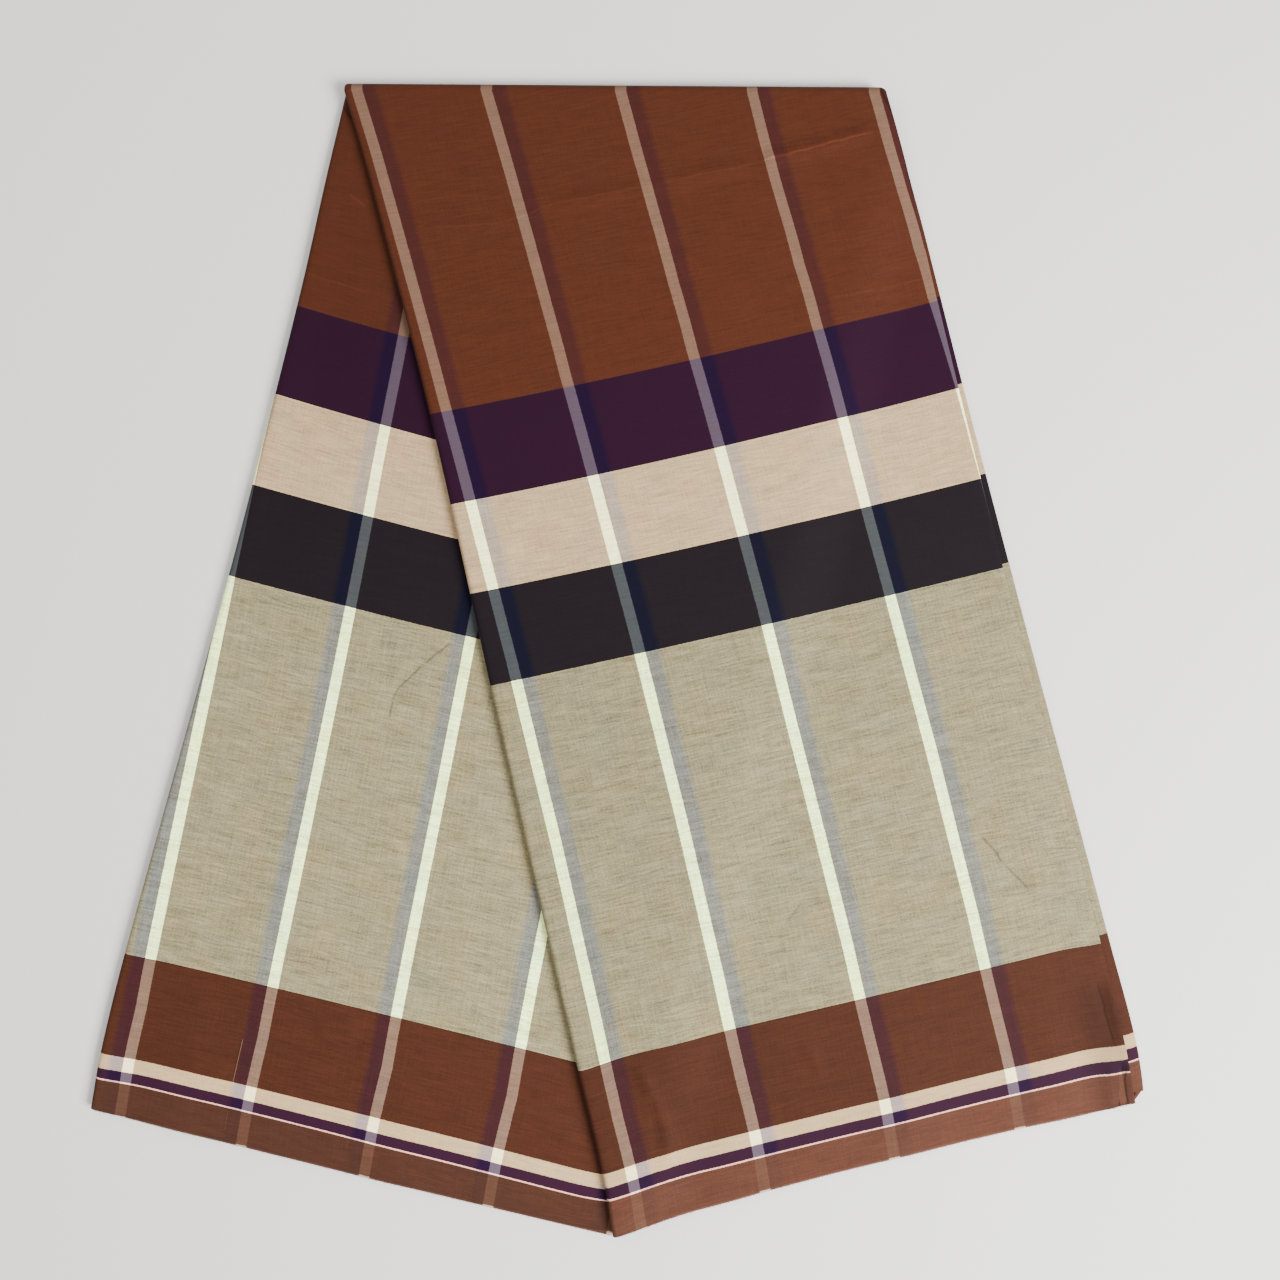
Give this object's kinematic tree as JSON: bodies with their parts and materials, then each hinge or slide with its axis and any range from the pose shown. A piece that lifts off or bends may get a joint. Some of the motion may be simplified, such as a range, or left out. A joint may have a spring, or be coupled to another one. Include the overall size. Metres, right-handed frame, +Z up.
{
  "type": "lungi folded flat",
  "caption": "Checked cotton wrap cloth, folded into a strip and folded over on a slant into a flat fan.",
  "frame": {"origin": "middle of the cloth's outline, on the surface that it lies on", "axes": "+Y towards the fold at the top, +X to the right in the picture, +Z up from the surface"},
  "size_m": [0.5658, 0.6178, 0.01],
  "materials": {
    "front_cloth": "plain weave cotton, checked and banded",
    "back_cloth": "plain weave cotton, checked and banded",
    "fold_cloth": "plain weave cotton, checked and banded",
    "front_layer_cloth": "plain weave cotton",
    "back_layer_cloth": "plain weave cotton"
  },
  "bodies": {
    "root": {"front_panel": "front_cloth", "back_panel": "back_cloth", "under_fold": "fold_cloth", "front_layers": "front_layer_cloth", "back_layers": "back_layer_cloth"}
  },
  "joints": []
}
